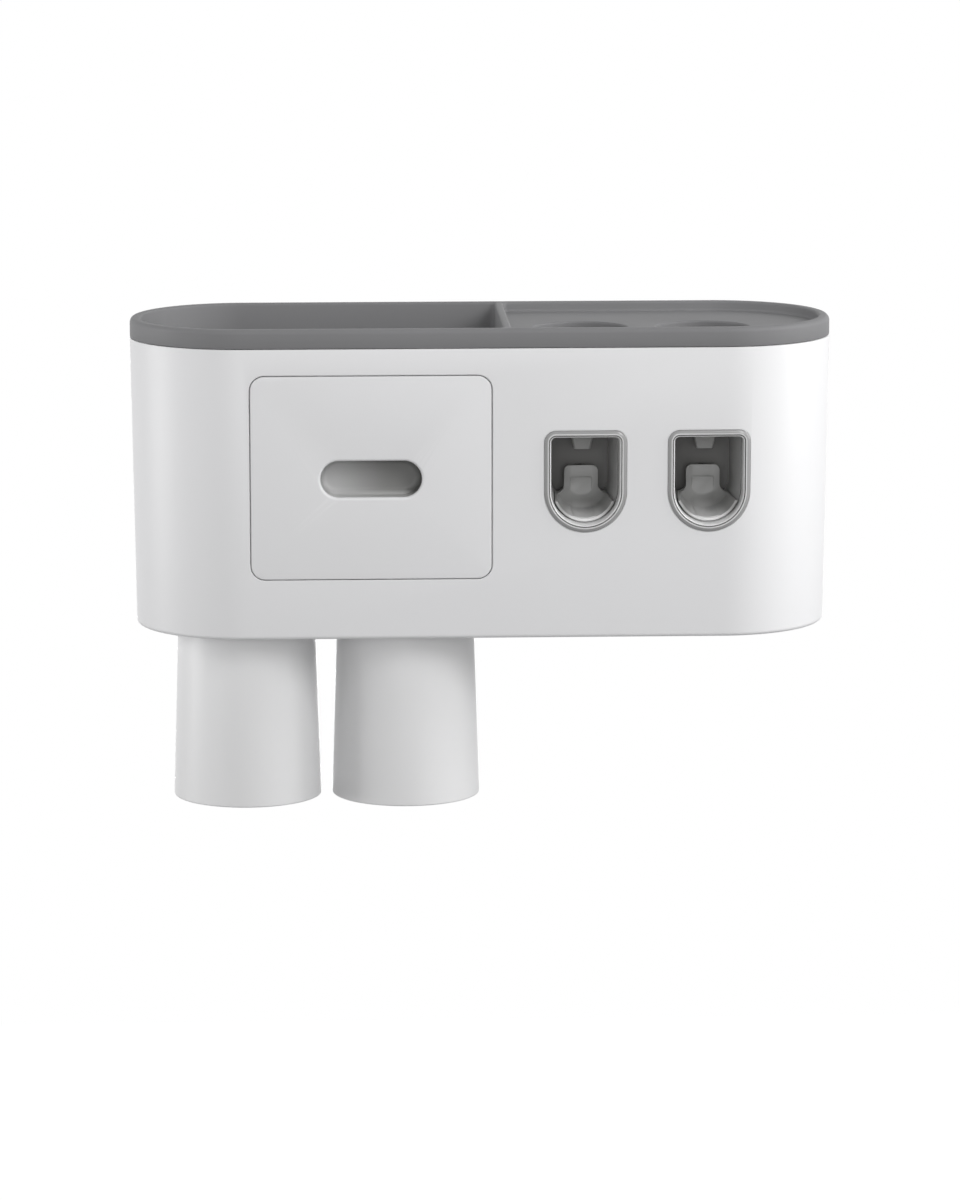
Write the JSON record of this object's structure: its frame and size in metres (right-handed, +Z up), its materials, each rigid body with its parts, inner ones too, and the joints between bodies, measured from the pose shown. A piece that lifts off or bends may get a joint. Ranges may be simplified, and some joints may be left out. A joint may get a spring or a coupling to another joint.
{
  "type": "toothpaste dispenser",
  "caption": "Wall-hung bathroom organiser that squeezes toothpaste, with a drawer, a lift-off top tray, magnetic rinsing cups and a brush rack.",
  "frame": {"origin": "middle of the back face, on the wall plane, half way up the body", "axes": "+X to the viewer's right along the wall, +Y into the wall, +Z up; the front faces -Y"},
  "size_m": [0.34, 0.1135, 0.2354],
  "materials": {
    "white_plastic": "satin moulded",
    "cup_plastic": "satin moulded, slightly translucent white",
    "gray_plastic": "fine satin moulded",
    "dark_plastic": "satin moulded",
    "paddle_plastic": "satin moulded",
    "bezel_gloss": "polished moulded",
    "hanger_plastic": "clear moulded",
    "adhesive_foam": "soft acrylic foam",
    "silicone": "soft satin",
    "steel": "stainless",
    "magnet": "sintered ferrite"
  },
  "bodies": {
    "body": {"main_shell": "white_plastic", "drawer_bay": "white_plastic", "brush_hood": "white_plastic", "brush_rack": "gray_plastic", "holder_magnet_left": "magnet", "holder_magnet_right": "magnet", "magnet_cover_left": "white_plastic", "magnet_cover_right": "white_plastic", "wall_hanger_left": "hanger_plastic", "wall_hanger_right": "hanger_plastic", "adhesive_pad_left": "adhesive_foam", "adhesive_pad_right": "adhesive_foam", "bezel_left": "bezel_gloss", "bezel_right": "bezel_gloss", "housing_left": "dark_plastic", "housing_right": "dark_plastic", "nozzle_left": "paddle_plastic", "nozzle_right": "paddle_plastic", "outlet_valve_left": "silicone", "outlet_valve_right": "silicone", "bladder_left": "silicone", "bladder_right": "silicone", "inlet_socket_left": "silicone", "inlet_socket_right": "silicone", "inlet_valve_left": "silicone", "inlet_valve_right": "silicone", "rear_cover_left": "dark_plastic", "rear_cover_right": "dark_plastic", "return_spring_left": "steel", "return_spring_right": "steel", "feed_pipe_left": "dark_plastic", "feed_pipe_right": "dark_plastic", "housing_screw_left_outer": "steel", "housing_screw_left_inner": "steel", "housing_screw_right_outer": "steel", "housing_screw_right_inner": "steel", "rack_screw_left": "steel", "rack_screw_right": "steel", "bay_screw_front": "steel", "bay_screw_back": "steel"},
    "tray": {"top_tray": "gray_plastic"},
    "drawer": {"drawer_front": "white_plastic", "drawer_box": "white_plastic", "drawer_screw_left": "steel", "drawer_screw_right": "steel"},
    "left_pusher": {"paddle_left": "paddle_plastic", "plunger_left": "paddle_plastic"},
    "right_pusher": {"paddle_right": "paddle_plastic", "plunger_right": "paddle_plastic"},
    "left_cup": {"cup_left": "cup_plastic", "cup_magnet_left": "steel", "cup_cap_left": "cup_plastic"},
    "right_cup": {"cup_right": "cup_plastic", "cup_magnet_right": "steel", "cup_cap_right": "cup_plastic"}
  },
  "joints": [
    {"name": "tray_lift", "type": "slide", "parent": "body", "child": "tray", "axis": [0, 0, 1], "range_m": [0, 0.03]},
    {"name": "drawer_slide", "type": "slide", "parent": "body", "child": "drawer", "axis": [0, -1, 0], "range_m": [0, 0.075]},
    {"name": "left_paddle_push", "type": "slide", "parent": "body", "child": "left_pusher", "axis": [0, 1, 0], "range_m": [0, 0.009], "stiffness_N_per_m": 400, "springref_m": -0.006, "deforming": ["return_spring_left", "bladder_left"]},
    {"name": "right_paddle_push", "type": "slide", "parent": "body", "child": "right_pusher", "axis": [0, 1, 0], "range_m": [0, 0.009], "stiffness_N_per_m": 400, "springref_m": -0.006, "deforming": ["return_spring_right", "bladder_right"]},
    {"name": "left_cup_pull", "type": "slide", "parent": "body", "child": "left_cup", "axis": [0, 0, -1], "range_m": [0, 0.03]},
    {"name": "right_cup_pull", "type": "slide", "parent": "body", "child": "right_cup", "axis": [0, 0, -1], "range_m": [0, 0.03]}
  ]
}
